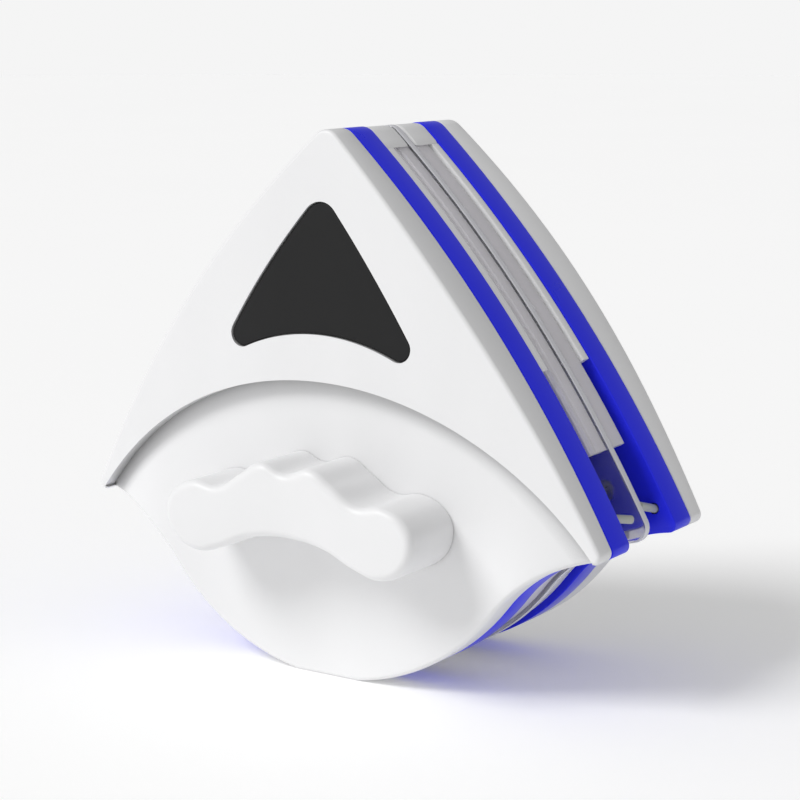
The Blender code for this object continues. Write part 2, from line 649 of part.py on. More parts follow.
def make_edge_strips(half, side):
    """White blade carriers, clear blades along both sides, and the clip over their top ends."""
    rise = APEX_RISE - TIP_CLIP_HEIGHT - GAP
    for label, turn in (("left", mirrored), ("right", list)):
        carrier = turn(strip(CARRIER_INSET, CARRIER_WIDTH, CARRIER_END_RISE, rise))
        slab(f"{half}_carrier_{label}", side, carrier, CARRIER_NEAR, CARRIER_FAR, WHITE)
        blade = turn(strip(BLADE_INSET, BLADE_WIDTH, BLADE_END_RISE, rise))
        slab(f"{half}_blade_{label}", side, blade, BLADE_NEAR, BLADE_FAR, CLEAR)
    slab(half + "_tip_clip", side, tip_clip_outline(), BLADE_NEAR, CARRIER_FAR, WHITE)


def make_bottom_blade(half, side):
    """Clear blade that follows the lower edge from corner to corner."""
    end = HALF_WIDTH - BOTTOM_BLADE_END
    runs = []
    for inset in (BOTTOM_BLADE_INSET, BOTTOM_BLADE_INSET + BLADE_WIDTH):
        radius = FLARE_RADIUS + inset
        rise = math.sqrt(radius ** 2 - (end - FLARE_CENTRE.x) ** 2)
        start = Vector((end, FLARE_CENTRE.y + rise))
        right = belly_run(inset, start)
        runs.append(right + mirrored(right))
    slab(half + "_blade_bottom", side, runs[0] + list(reversed(runs[1])), BLADE_NEAR, BLADE_FAR, CLEAR)


def make_pad(half, side):
    """Microfibre pad on the working face."""
    points = outline(PAD_INSET, PAD_INSET + PAD_CORNER, PAD_INSET + PAD_CORNER)
    slab(half + "_pad", side, points, SHEET_FACE + GAP, BASE_NEAR - GAP, FIBRE)


def make_posts(half, side):
    """Short corner posts that lean towards the corners, held by a flange inside the base."""
    back = BASE_NEAR + FLOOR + GAP
    for label, hand in (("left", -1), ("right", 1)):
        tip = post_axis(side, hand, POST_REACH)
        root = post_axis(side, hand, back + POST_FLANGE_TILT + POST_FLANGE_DEPTH)
        seat = 1 - POST_FLANGE_DEPTH / (back + POST_FLANGE_TILT + POST_FLANGE_DEPTH - POST_REACH)
        profile = [(POST_RADIUS, 0), (POST_RADIUS, seat), (POST_FLANGE, seat), (POST_FLANGE, 1)]
        mesh = round_mesh(profile, tip, root, "post")
        add_object(f"{half}_post_{label}", mesh, GREY)


def make_tether_eye(side):
    """Wire staple on the rear cover that a safety cord ties to."""
    z = CORNER_HEIGHT + EYE_RISE
    foot = dish_depth(0, z) - 2 * WALL
    crown = EYE_DEPTH - EYE_WIRE - EYE_HALF_SPAN
    route = [(-EYE_HALF_SPAN, foot), (-EYE_HALF_SPAN, crown)]
    for i in range(1, EYE_TURNS):
        angle = math.pi * i / EYE_TURNS
        route.append((-EYE_HALF_SPAN * math.cos(angle), crown + EYE_HALF_SPAN * math.sin(angle)))
    route += [(EYE_HALF_SPAN, crown), (EYE_HALF_SPAN, foot)]
    curve = bpy.data.curves.new("eye", "CURVE")
    curve.dimensions = "3D"
    curve.bevel_depth = EYE_WIRE
    curve.bevel_resolution = 3
    curve.use_fill_caps = True
    spline = curve.splines.new("POLY")
    spline.points.add(len(route) - 1)
    for point, (x, depth) in zip(spline.points, route):
        point.co = (*place(side, x, depth, z), 1)
    add_object("tether_eye", mesh_of_curve(curve, Matrix.Identity(4)), STEEL)
    for label, hand in (("left", -1), ("right", 1)):
        hole = rod("eye_hole_" + label, side, hand * EYE_HALF_SPAN, z, COVER_NEAR, BEYOND,
                   EYE_WIRE + HOLE_GAP)
        combine(bpy.data.objects["rear_cover"], hole, "DIFFERENCE", "MANIFOLD")


def make_sheet():
    """Clear separator sheet between the two halves."""
    points = outline(SHEET_INSET, SHEET_CORNER, SHEET_CORNER)
    mesh = slab_mesh(points, MID_Y - SHEET_FACE, MID_Y + SHEET_FACE)
    add_object("separator_sheet", mesh, CLEAR)


for old in list(bpy.data.objects):
    bpy.data.objects.remove(old)

CLEANER = empty_collection("glass_cleaner")
CUTTERS = empty_collection("cutters")
FRAME = bpy.data.objects.new("cleaner_origin", None)
CLEANER.objects.link(FRAME)

WHITE = material("white_abs", (0.82, 0.82, 0.83), 0.35)
BLUE = material("blue_abs", (0.03, 0.04, 0.62), 0.3)
BLACK = material("black_inlay", (0.03, 0.03, 0.03), 0.55)
CLEAR = material("clear_tpe", (0.6, 0.6, 0.68), 0.2, alpha=0.55)
GREY = material("grey_acetal", (0.45, 0.5, 0.48), 0.4)
STEEL = material("zinc_steel", (0.6, 0.6, 0.62), 0.35, metallic=1.0)
NICKEL = material("nickel_plate", (0.7, 0.7, 0.7), 0.25, metallic=1.0)
FIBRE = material("microfibre", (0.75, 0.76, 0.8), 0.95)

for half_name, facing in (("front", -1), ("rear", 1)):
    make_base(half_name, facing)
    make_cover(half_name, facing)
    make_inlay(half_name, facing)
    make_magnets(half_name, facing)
    make_cover_screws(half_name, facing)
    make_edge_strips(half_name, facing)
    make_bottom_blade(half_name, facing)
    make_pad(half_name, facing)
    make_posts(half_name, facing)
make_handle(-1)
make_tether_eye(1)
make_sheet()
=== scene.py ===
import math

import bmesh
import bpy
from mathutils import Matrix, Vector


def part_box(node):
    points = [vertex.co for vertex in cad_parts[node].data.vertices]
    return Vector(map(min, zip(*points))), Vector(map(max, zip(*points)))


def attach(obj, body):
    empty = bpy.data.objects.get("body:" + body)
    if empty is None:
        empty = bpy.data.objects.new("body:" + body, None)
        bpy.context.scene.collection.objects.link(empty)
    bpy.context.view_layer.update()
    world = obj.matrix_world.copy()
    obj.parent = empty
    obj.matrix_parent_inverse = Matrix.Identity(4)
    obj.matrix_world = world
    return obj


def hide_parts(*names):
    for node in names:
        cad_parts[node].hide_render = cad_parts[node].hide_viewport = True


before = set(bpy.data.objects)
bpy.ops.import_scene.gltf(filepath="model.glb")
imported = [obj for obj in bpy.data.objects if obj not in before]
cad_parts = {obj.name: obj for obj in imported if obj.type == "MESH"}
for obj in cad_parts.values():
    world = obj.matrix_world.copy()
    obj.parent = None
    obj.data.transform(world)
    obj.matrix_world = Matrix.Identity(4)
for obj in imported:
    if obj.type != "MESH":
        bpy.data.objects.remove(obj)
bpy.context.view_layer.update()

# The two bases are trays of glossy blue ABS, injection moulded. Each holds four magnets behind its
# working face, and the white cover closes it. A screw comes up through each of three sunk holes, and
# a post leans out at each corner. Both trays share one outline of arcs that meet smoothly.
HALVES = (("front", -1), ("rear", 1))
HALF_WIDTH = 0.0925
CORNER_HEIGHT = 0.0465
APEX_RISE = 0.1192
SIDE_RADIUS = 0.4323
BELLY_RADIUS = 0.0733
FLARE_RADIUS = 0.0478
CORNER_RADIUS = 0.0025
APEX_RADIUS = 0.0055
STAND_FLAT = 0.022
WALL = 0.0022
GAP = 0.0003
BASE_EDGE = 0.0005
SEAM_EDGE = 0.00045
HOLLOW_EDGE = 0.0002
LEAST_ROUND = 0.0004
ROUND_STEPS = 4
APEX_STEPS = 5
SIDE_STEPS = 80
CORNER_STEPS = 8
FLARE_STEPS = 36
BELLY_STEPS = 44
TURNED_SIDES = 32
POLE_MERGE = 0.000005
SHARP_ANGLE = math.radians(32)

MID_Y = (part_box("front_base")[1][1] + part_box("rear_base")[0][1]) / 2
CORNER = Vector((HALF_WIDTH, CORNER_HEIGHT))
APEX = Vector((0, CORNER_HEIGHT + APEX_RISE))
BELLY_CENTRE = Vector((0, math.sqrt(BELLY_RADIUS ** 2 - (STAND_FLAT / 2) ** 2)))


def depths(node):
    """How far a node's nearest and furthest faces lie from the mid-plane."""
    low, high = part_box(node)
    return sorted((abs(low[1] - MID_Y), abs(high[1] - MID_Y)))


def circles_meet(centre_a, radius_a, centre_b, radius_b):
    """Both points that lie on two circles, the one on the left of the line from a to b first."""
    across = centre_b - centre_a
    along = (radius_a ** 2 - radius_b ** 2 + across.length_squared) / (2 * across.length)
    up = math.sqrt(max(radius_a ** 2 - along ** 2, 0))
    unit = across.normalized()
    foot = centre_a + unit * along
    normal = Vector((-unit.y, unit.x))
    return foot + normal * up, foot - normal * up


SIDE_CENTRE = circles_meet(CORNER, SIDE_RADIUS, APEX, SIDE_RADIUS)[0]
FLARE_CENTRE = circles_meet(BELLY_CENTRE, BELLY_RADIUS + FLARE_RADIUS, CORNER, FLARE_RADIUS)[1]
FLARE_WAY = (FLARE_CENTRE - BELLY_CENTRE).normalized()


def arc(centre, start, end, steps):
    """Points on the circle round a centre from one point to another, the short way."""
    first = start - centre
    turn = math.atan2(first.x * (end - centre).y - first.y * (end - centre).x, first.dot(end - centre))
    return [centre + Matrix.Rotation(turn * i / steps, 2) @ first for i in range(steps + 1)]


def mirrored(points):
    """A right-hand run of points, turned round on the left."""
    return [Vector((-p.x, p.y)) for p in reversed(points)]


def tip_circle(inset, rounding):
    """Middle of the rounding where the side meets the hollow flare."""
    return circles_meet(SIDE_CENTRE, SIDE_RADIUS - inset - rounding,
                        FLARE_CENTRE, FLARE_RADIUS + inset + rounding)[0]


def lower_run(inset, start):
    """The flare, the belly and half of the standing flat, from a point of the right flare."""
    joint = BELLY_CENTRE + FLARE_WAY * (BELLY_RADIUS - inset)
    flat = Vector((math.sqrt((BELLY_RADIUS - inset) ** 2 - (BELLY_CENTRE.y - inset) ** 2), inset))
    return arc(FLARE_CENTRE, start, joint, FLARE_STEPS) + arc(BELLY_CENTRE, joint, flat, BELLY_STEPS)[1:]


def outline(inset=0.0, corner_radius=CORNER_RADIUS, apex_radius=APEX_RADIUS):
    """Closed outline of a half, clockwise from the apex, moved in by an inset."""
    top_round = max(apex_radius - inset, LEAST_ROUND)
    rounding = max(corner_radius - inset, LEAST_ROUND)
    rise = math.sqrt((SIDE_RADIUS - inset - top_round) ** 2 - SIDE_CENTRE.x ** 2)
    top = Vector((0, SIDE_CENTRE.y + rise))
    tip = tip_circle(inset, rounding)
    side_top = SIDE_CENTRE + (top - SIDE_CENTRE).normalized() * (SIDE_RADIUS - inset)
    side_low = SIDE_CENTRE + (tip - SIDE_CENTRE).normalized() * (SIDE_RADIUS - inset)
    flare_start = FLARE_CENTRE + (tip - FLARE_CENTRE).normalized() * (FLARE_RADIUS + inset)
    right = arc(top, top + Vector((0, top_round)), side_top, APEX_STEPS)
    right += arc(SIDE_CENTRE, side_top, side_low, SIDE_STEPS)[1:]
    right += arc(tip, side_low, flare_start, CORNER_STEPS)[1:]
    right += lower_run(inset, flare_start)[1:]
    return right + mirrored(right)[:-1]


def flat_face(side, points, depth):
    """A new shape with one flat face over a clockwise outline."""
    shape = bmesh.new()
    shape.faces.new([shape.verts.new((p.x, MID_Y + side * depth, p.y)) for p in points])
    return shape


def rolled(radius, steps=ROUND_STEPS):
    """Steps outwards and down that round an edge over."""
    turns = [math.pi / 2 * i / steps for i in range(steps + 1)]
    return [(radius * (math.sin(b) - math.sin(a)), radius * (math.cos(a) - math.cos(b)))
            for a, b in zip(turns, turns[1:])]


def tucked(radius, steps=ROUND_STEPS):
    """Steps inwards and down that round the lower edge of a wall under."""
    return [(-out, down) for down, out in rolled(radius, steps)]


def grow_rim(shape, side, steps):
    """Carry a surface's open edge on by steps outwards and steps down towards the mid-plane."""
    for out, down in steps:
        edges = [edge for edge in shape.edges if edge.is_boundary]
        ways = {}
        for edge in edges:
            loop = edge.link_loops[0]
            along = loop.link_loop_next.vert.co - loop.vert.co
            left = Vector((-along.z, 0, along.x))
            for vert in edge.verts:
                ways[vert] = ways.get(vert, Vector()) + left.normalized()
        places = {vert: vert.co + way.normalized() * out for vert, way in ways.items()}
        grown = bmesh.ops.extrude_edge_only(shape, edges=edges)["geom"]
        for vert in [item for item in grown if isinstance(item, bmesh.types.BMVert)]:
            root = next(e.other_vert(vert) for e in vert.link_edges if e.other_vert(vert) in places)
            vert.co = places[root] + Vector((0, -side * down, 0))


def drop_rim(shape, level_at):
    """Carry a surface's open edge straight on to the level that a function gives."""
    grow_rim(shape, 1, [(0, 0)])
    for vert in [v for v in shape.verts if v.is_boundary]:
        vert.co.y = level_at(vert.co)


def close_rim(shape):
    """Cap the open edge with one face."""
    bmesh.ops.holes_fill(shape, edges=[edge for edge in shape.edges if edge.is_boundary], sides=0)


def slab(side, outline_at, near, far, near_edge, far_edge):
    """A flat piece with rounded rims, from a function that gives its outline at an inset."""
    shape = flat_face(side, outline_at(far_edge), far)
    grow_rim(shape, side, rolled(far_edge) + [(0, far - near - far_edge - near_edge)] + tucked(near_edge))
    close_rim(shape)
    return shape


def mesh_from(shape, name):
    """A finished mesh from a shape, facing outwards and shaded smooth between its sharp edges."""
    bmesh.ops.recalc_face_normals(shape, faces=shape.faces)
    mesh = bpy.data.meshes.new(name)
    shape.to_mesh(mesh)
    shape.free()
    mesh.shade_smooth()
    mesh.set_sharp_from_angle(angle=SHARP_ANGLE)
    return mesh


def piece(name, shape, finish, body, slot, *nodes):
    """Make an object of a shape, give it its finish and fix it to the half that it moves with."""
    made = bpy.data.objects.new(name, mesh_from(shape, name))
    made.data.materials.append(finish)
    bpy.context.scene.collection.objects.link(made)
    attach(made, body)
    if nodes:
        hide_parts(*nodes)
    return made


def cut(made, tool_shape):
    """Take a shape out of a finished piece."""
    tool = bpy.data.objects.new("tool", mesh_from(tool_shape, "tool"))
    bpy.context.scene.collection.objects.link(tool)
    step = made.modifiers.new("cut", "BOOLEAN")
    step.operation = "DIFFERENCE"
    step.solver = "EXACT"
    step.object = tool
    seen = made.evaluated_get(bpy.context.evaluated_depsgraph_get())
    whole = bpy.data.meshes.new_from_object(seen)
    made.modifiers.remove(step)
    bpy.data.objects.remove(tool)
    made.data = whole
    whole.set_sharp_from_angle(angle=SHARP_ANGLE)


def turned(profile, start, end):
    """A turned shape from radius and distance along its axis, closed at both ends."""
    shape = bmesh.new()
    stations = [(0, profile[0][1])] + profile + [(0, profile[-1][1])]
    line = [shape.verts.new((radius, 0, along)) for radius, along in stations]
    edges = [shape.edges.new(pair) for pair in zip(line, line[1:])]
    bmesh.ops.spin(shape, geom=line + edges, cent=(0, 0, 0), axis=(0, 0, 1), angle=2 * math.pi,
                   steps=TURNED_SIDES, use_merge=True)
    bmesh.ops.remove_doubles(shape, verts=shape.verts, dist=POLE_MERGE)
    turn = (end - start).to_track_quat("Z", "Y").to_matrix().to_4x4()
    bmesh.ops.transform(shape, matrix=Matrix.Translation(start) @ turn, verts=shape.verts)
    return shape


def joined(shapes):
    """Several shapes as one."""
    whole = bmesh.new()
    for shape in shapes:
        loose = bpy.data.meshes.new("loose")
        shape.to_mesh(loose)
        shape.free()
        whole.from_mesh(loose)
        bpy.data.meshes.remove(loose)
    return whole


class Value:
    """A number or colour on its way through a finish. Sums on it become Math nodes."""

    def __init__(self, finish, socket):
        self.finish = finish
        self.socket = socket

    def math(self, operation, first, second):
        return self.finish.node("ShaderNodeMath", {"operation": operation}, {0: first, 1: second})

    def __add__(self, other):
        return self.math("ADD", self, other)

    def __radd__(self, other):
        return self.math("ADD", other, self)

    def __sub__(self, other):
        return self.math("SUBTRACT", self, other)

    def __rsub__(self, other):
        return self.math("SUBTRACT", other, self)

    def __mul__(self, other):
        return self.math("MULTIPLY", self, other)

    def __rmul__(self, other):
        return self.math("MULTIPLY", other, self)


class Finish:
    """A material under construction."""

    def __init__(self, name, **shader):
        self.material = bpy.data.materials.new(name)
        self.material.use_nodes = True
        self.tree = self.material.node_tree
        self.shader = self.tree.nodes["Principled BSDF"]
        for plug, amount in shader.items():
            self.shader.inputs[plug.replace("_", " ")].default_value = amount
        self.place = self.node("ShaderNodeTexCoord", {}, {}, "Object")

    def node(self, kind, settings, plugs, out=0):
        """Add a node: its settings, then a number or a link for each of its sockets."""
        made = self.tree.nodes.new(kind)
        for setting, choice in settings.items():
            setattr(made, setting, choice)
        for plug, amount in plugs.items():
            self.plug(made.inputs[plug], amount)
        return Value(self, made.outputs[out])

    def plug(self, socket, amount):
        """Give a socket a number, a colour or a link."""
        if isinstance(amount, Value):
            self.tree.links.new(amount.socket, socket)
        else:
            socket.default_value = amount

    def feed(self, **plugs):
        """Link varying values into the shader."""
        for plug, amount in plugs.items():
            self.plug(self.shader.inputs[plug.replace("_", " ")], amount)

    def noise(self, scale, detail, stretch=(1, 1, 1)):
        """Soft noise from 0 to 1, its scale in features per metre."""
        spot = self.node("ShaderNodeMapping", {}, {"Vector": self.place, "Scale": stretch})
        return self.node("ShaderNodeTexNoise", {}, {"Vector": spot, "Scale": scale, "Detail": detail})

    def mix(self, share, first, second):
        """A colour between two colours."""
        return self.node("ShaderNodeMix", {"data_type": "RGBA"}, {0: share, 6: first, 7: second}, 2)

    def bump(self, height, strength, distance):
        """A normal that follows a height."""
        return self.node("ShaderNodeBump", {},
                         {"Height": height, "Strength": strength, "Distance": distance})


def shade(colour, factor, lift=0):
    """A lighter or darker version of a colour, opaque."""
    return [min(1, part * factor + lift) for part in colour] + [1]


FLOW_SCALE = 26
FLOW_LIFT = 0.004
GRAIN_SCALE = 2600
SCUFF_SCALE = 140
GRAIN_DEPTH = 0.0001
PAINTED_SHADE_REACH = 0.007
BLUE_COLOUR = (0.018, 0.024, 0.84)


def moulded(name, colour, roughness, grain, painted_crease_shade, specular):
    """Injection-moulded plastic: faint flow marks, painted shade in its creases, fine grain and uneven
    gloss.
    """
    made = Finish(name, Specular_IOR_Level=specular)
    flow = made.noise(FLOW_SCALE, 2.0, (1, 1, 0.35))
    fine = made.noise(GRAIN_SCALE, 2.0)
    scuff = made.noise(SCUFF_SCALE, 6.0)
    # Ambient occlusion darkens the base colour in creases and recesses: this is painted shade.
    painted_shade = made.node("ShaderNodeAmbientOcclusion", {"only_local": True, "samples": 8},
                       {"Distance": PAINTED_SHADE_REACH}, 1)
    open_colour = made.mix(flow, shade(colour, 0.95), shade(colour, 1.05, FLOW_LIFT))
    made.feed(Base_Color=made.mix(painted_shade, shade(colour, painted_crease_shade), open_colour))
    made.feed(Roughness=roughness + (scuff - 0.5) * 0.10 + (flow - 0.5) * 0.06)
    made.feed(Normal=made.bump(fine * grain + scuff * 0.1, 0.12, GRAIN_DEPTH))
    return made.material


BLUE = moulded("blue_abs", BLUE_COLOUR, roughness=0.30, grain=0.25, painted_crease_shade=0.8, specular=0.2)
HOLE_GAP = 0.0004
HEAD_RADIUS = 0.0028
HEAD_DEPTH = 0.0022
SHANK_RADIUS = 0.0014
POST_RADIUS = 0.00125
POST_TIP_DEPTH = 0.0035
POST_TIP_INSET = 0.0026
POST_ROOT_INSET = 0.0045
POST_LOW = 0.0076
POST_HIGH = 0.0104
POST_BACK = 0.0019
BASE_NEAR, BASE_FAR = depths("front_base")


def middle_of(node):
    """Middle of a node's box in X and Z."""
    low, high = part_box(node)
    return Vector(((low[0] + high[0]) / 2, (low[2] + high[2]) / 2))


def across(side, spot, near, far):
    """Both ends of a line square to the mid-plane."""
    return Vector((spot.x, MID_Y + side * near, spot.y)), Vector((spot.x, MID_Y + side * far, spot.y))


def post_line(side, hand):
    """Tip and root of a corner post's axis. One post of a half falls towards its tip, one rises."""
    out = 1 if hand == "right" else -1
    falls = side * out < 0
    tip, root = (circles_meet(SIDE_CENTRE, SIDE_RADIUS - from_side,
                              FLARE_CENTRE, FLARE_RADIUS + from_flare)[0]
                 for from_side, from_flare in ((POST_TIP_INSET, POST_LOW if falls else POST_HIGH),
                                               (POST_ROOT_INSET, POST_HIGH if falls else POST_LOW)))
    back = BASE_NEAR + WALL + POST_BACK
    root = tip.lerp(root, (back - POST_TIP_DEPTH) / (BASE_NEAR - POST_TIP_DEPTH))
    return (Vector((out * tip.x, MID_Y + side * POST_TIP_DEPTH, tip.y)),
            Vector((out * root.x, MID_Y + side * back, root.y)))


for half, side in HALVES:
    tray = piece(f"{half}_blue_tray", slab(side, outline, BASE_NEAR, BASE_FAR, BASE_EDGE, SEAM_EDGE),
                 BLUE, f"{half}_half", "blue_abs", f"{half}_base")
    cut(tray, slab(side, lambda inset: outline(WALL + inset), BASE_NEAR + WALL, BASE_FAR + WALL,
                   HOLLOW_EDGE, HOLLOW_EDGE))
    bores = []
    for spot in ("top", "left", "right"):
        head_near = depths(f"{half}_screw_{spot}")[0]
        sink = head_near + HEAD_DEPTH + GAP - BASE_NEAR + WALL
        mouth = HEAD_RADIUS + HOLE_GAP
        neck = SHANK_RADIUS + HOLE_GAP
        profile = [(mouth, 0), (mouth, sink), (neck, sink), (neck, sink + WALL)]
        start, end = across(side, middle_of(f"{half}_screw_{spot}"), BASE_NEAR - WALL, BASE_FAR)
        bores.append(turned(profile, start, end))
    for hand in ("left", "right"):
        tip, root = post_line(side, hand)
        bore = POST_RADIUS + HOLE_GAP
        bores.append(turned([(bore, 0), (bore, (root - tip).length)], tip, root))
    cut(tray, joined(bores))

# The covers are shells of satin white ABS, moulded with a crowned plate above and a sunk dish below,
# parted by a step along one arc. Their rims roll over and meet the blue trays in a fine seam. The
# plate has a shallow pocket for its black inlay.
RECESS_RADIUS = 0.1126
RECESS_RISE = 0.0439
RECESS_DEPTH = 0.0048
RIM_DEPTH = 0.0071
CROWN = 0.0068
CROWN_HALF_WIDTH = 0.095
CROWN_HALF_HEIGHT = 0.080
CROWN_RISE = 0.050
BELLY_RIM = 0.0101
BELLY_RIM_HALF_WIDTH = 0.060
RIM_ROLL = 0.0013
CELL = 0.0033
INNER_CELL = 0.008
CELL_SHIFT = 0.0001
CELL_MERGE = 0.00002
CREST_STEPS = 120
CREST_NEAR = 0.00004
SKIN_MERGE = 0.00001
RIM_STEPS = 6
SEAM_STEPS = 2
LEAST_DROP = 0.001
COVER_NEAR = depths("front_cover")[0]
RIM = COVER_NEAR + RIM_DEPTH
RECESS_CENTRE = Vector((0, CORNER_HEIGHT + RECESS_RISE - RECESS_RADIUS))


def recess_height(x):
    """Height of the recess arc at a distance from the middle."""
    return RECESS_CENTRE.y + math.sqrt(max(RECESS_RADIUS ** 2 - x ** 2, 0))


def lower_edge(x):
    """Height of the outline's lower edge at a distance from the middle."""
    x = abs(x)
    if x <= STAND_FLAT / 2:
        return 0.0
    if x <= (BELLY_CENTRE + FLARE_WAY * BELLY_RADIUS).x:
        return BELLY_CENTRE.y - math.sqrt(BELLY_RADIUS ** 2 - x ** 2)
    return FLARE_CENTRE.y + math.sqrt(max(FLARE_RADIUS ** 2 - (x - FLARE_CENTRE.x) ** 2, 0))


def plate_depth(x, z):
    """Depth of the cover's crowned plate."""
    across_share = max(0.0, 1 - (x / CROWN_HALF_WIDTH) ** 2)
    up_share = max(0.0, 1 - ((z - CORNER_HEIGHT - CROWN_RISE) / CROWN_HALF_HEIGHT) ** 2)
    return RIM + CROWN * across_share * up_share


def dish_depth(x, z):
    """Depth of the dish: sunk along the recess arc, full at the belly rim."""
    top = recess_height(x)
    sunk = plate_depth(x, top) - RECESS_DEPTH
    share = min(1.0, max(0.0, (abs(x) - BELLY_RIM_HALF_WIDTH) / (HALF_WIDTH - BELLY_RIM_HALF_WIDTH)))
    ease = share * share * (3 - 2 * share)
    full = (COVER_NEAR + BELLY_RIM) * (1 - ease) + sunk * ease
    down = (top - z) / max(top - lower_edge(x), LEAST_DROP)
    return sunk + (full - sunk) * min(1.0, max(0.0, down))


def sliced(side, points, depth_at, cell):
    """A surface over an outline, sliced into a grid and lifted to a depth."""
    shape = flat_face(side, points, 0)
    for axis, ends in ((0, [p.x for p in points]), (2, [p.y for p in points])):
        normal = Vector((0, 0, 0))
        normal[axis] = 1
        for i in range(math.ceil(min(ends) / cell), math.floor(max(ends) / cell) + 1):
            bmesh.ops.bisect_plane(shape, geom=shape.verts[:] + shape.edges[:] + shape.faces[:],
                                   dist=CELL_MERGE, plane_co=normal * (i * cell + CELL_SHIFT),
                                   plane_no=normal)
    for vert in shape.verts:
        vert.co.y = MID_Y + side * depth_at(vert.co.x, vert.co.z)
    return shape


def cover_skin(side, inset, outset, plate_at, dish_at, cell):
    """Plate, step and dish as one open surface inside an inset of the outline."""
    ring = outline(inset)
    reach = RECESS_RADIUS + outset
    away = [(p - RECESS_CENTRE).length - reach for p in ring]
    split = next(i for i, gap in enumerate(away) if gap < 0)
    end = ring[split - 1].lerp(ring[split], away[split - 1] / (away[split - 1] - away[split]))
    crest = arc(RECESS_CENTRE, end, Vector((-end.x, end.y)), CREST_STEPS)
    plate = ring[:split] + crest + mirrored(ring[1:split])
    dish = ring[split:len(ring) - split + 1] + list(reversed(crest))
    low = sliced(side, dish, dish_at, cell)
    on_crest = {v for v in low.verts
                if abs((Vector((v.co.x, v.co.z)) - RECESS_CENTRE).length - reach) < CREST_NEAR}
    rise = [e for e in low.edges if e.is_boundary and on_crest.issuperset(e.verts)]
    step = bmesh.ops.extrude_edge_only(low, edges=rise)["geom"]
    for vert in [item for item in step if isinstance(item, bmesh.types.BMVert)]:
        vert.co.y = MID_Y + side * plate_at(vert.co.x, vert.co.z)
    whole = joined([sliced(side, plate, plate_at, cell), low])
    bmesh.ops.remove_doubles(whole, verts=whole.verts, dist=SKIN_MERGE)
    return whole


def cover_shell(side):
    """Outer skin with its rolled rim and seam edge, inner skin, and the flat lip between them."""
    outer = cover_skin(side, RIM_ROLL, 0, plate_depth, dish_depth, CELL)
    grow_rim(outer, side, rolled(RIM_ROLL, RIM_STEPS))
    drop_rim(outer, lambda spot: MID_Y + side * (COVER_NEAR + SEAM_EDGE))
    grow_rim(outer, side, tucked(SEAM_EDGE, SEAM_STEPS))
    inner = cover_skin(side, WALL, WALL, lambda x, z: plate_depth(x, z) - INLAY_BACK - WALL,
                       lambda x, z: dish_depth(x, z) - WALL, INNER_CELL)
    drop_rim(inner, lambda spot: MID_Y + side * COVER_NEAR)
    whole = joined([outer, inner])
    lip = [edge for edge in whole.edges if edge.is_boundary]
    bmesh.ops.triangle_fill(whole, edges=lip, use_beauty=True)
    return whole


INLAY_TOP_GAP = 0.0198
INLAY_HALF_WIDTH = 0.0386
INLAY_SIDE_RADIUS = 0.285
INLAY_ARCH = 0.066
INLAY_ARCH_GAP = 0.0142
INLAY_CORNER = 0.0038
INLAY_CREST = 0.0062
INLAY_THICKNESS = 0.0014
INLAY_SUNK = 0.0005
INLAY_EDGE = 0.0004
INLAY_TOP_STEPS = 12
INLAY_SIDE_STEPS = 30
INLAY_TOE_STEPS = 14
INLAY_ARCH_STEPS = 24
INLAY_BACK = INLAY_SUNK + INLAY_THICKNESS + GAP
INLAY_CENTRE = Vector((0, CORNER_HEIGHT + RECESS_RISE + INLAY_ARCH_GAP - INLAY_ARCH))


def inlay_outline(inset=0.0):
    """Rounded triangle with bowed sides and an arched foot, clockwise from its top."""
    top = APEX - Vector((0, INLAY_TOP_GAP))
    foot = Vector((INLAY_HALF_WIDTH, INLAY_CENTRE.y + math.sqrt(INLAY_ARCH ** 2 - INLAY_HALF_WIDTH ** 2)))
    centre = circles_meet(foot, INLAY_SIDE_RADIUS, top, INLAY_SIDE_RADIUS)[0]
    side_radius = INLAY_SIDE_RADIUS - inset
    arch = INLAY_ARCH + inset
    rounding = INLAY_CORNER - inset
    top_round = INLAY_CREST - inset
    crest = Vector((0, centre.y + math.sqrt((side_radius - top_round) ** 2 - centre.x ** 2)))
    toe = circles_meet(centre, side_radius - rounding, INLAY_CENTRE, arch + rounding)[0]
    side_top = centre + (crest - centre).normalized() * side_radius
    side_low = centre + (toe - centre).normalized() * side_radius
    arch_start = INLAY_CENTRE + (toe - INLAY_CENTRE).normalized() * arch
    right = arc(crest, crest + Vector((0, top_round)), side_top, INLAY_TOP_STEPS)
    right += arc(centre, side_top, side_low, INLAY_SIDE_STEPS)[1:]
    right += arc(toe, side_low, arch_start, INLAY_TOE_STEPS)[1:]
    right += arc(INLAY_CENTRE, arch_start, INLAY_CENTRE + Vector((0, arch)), INLAY_ARCH_STEPS)[1:]
    return right + mirrored(right)[1:-1]


WHITE_COLOUR = (0.80, 0.80, 0.806)
# The white takes the deepest painted shade in its creases.
WHITE = moulded("white_abs", WHITE_COLOUR, roughness=0.38, grain=0.3, painted_crease_shade=0.22, specular=0.4)
for half, side in HALVES:
    cover = piece(f"{half}_white_cover", cover_shell(side), WHITE, f"{half}_half", "white_abs",
                  f"{half}_cover")
    pocket = sliced(side, inlay_outline(-GAP), lambda x, z: plate_depth(x, z) - INLAY_BACK, CELL)
    grow_rim(pocket, side, [(0, -INLAY_BACK - WALL)])
    close_rim(pocket)
    cut(cover, pocket)

# The inlays are thin panels of black ABS with a fine spark-eroded grain. Each drops into a pocket of
# its cover, a hair below the plate, and is glued there.
BLACK_COLOUR = (0.012, 0.012, 0.0124)
BLACK = moulded("black_inlay", BLACK_COLOUR, roughness=0.5, grain=0.9, painted_crease_shade=0.8, specular=0.2)
for half, side in HALVES:
    panel = sliced(side, inlay_outline(INLAY_EDGE), lambda x, z: plate_depth(x, z) - INLAY_SUNK, CELL)
    grow_rim(panel, side, rolled(INLAY_EDGE) + [(0, INLAY_THICKNESS - INLAY_EDGE)])
    close_rim(panel)
    piece(f"{half}_black_panel", panel, BLACK, f"{half}_half", "black_inlay", f"{half}_inlay")

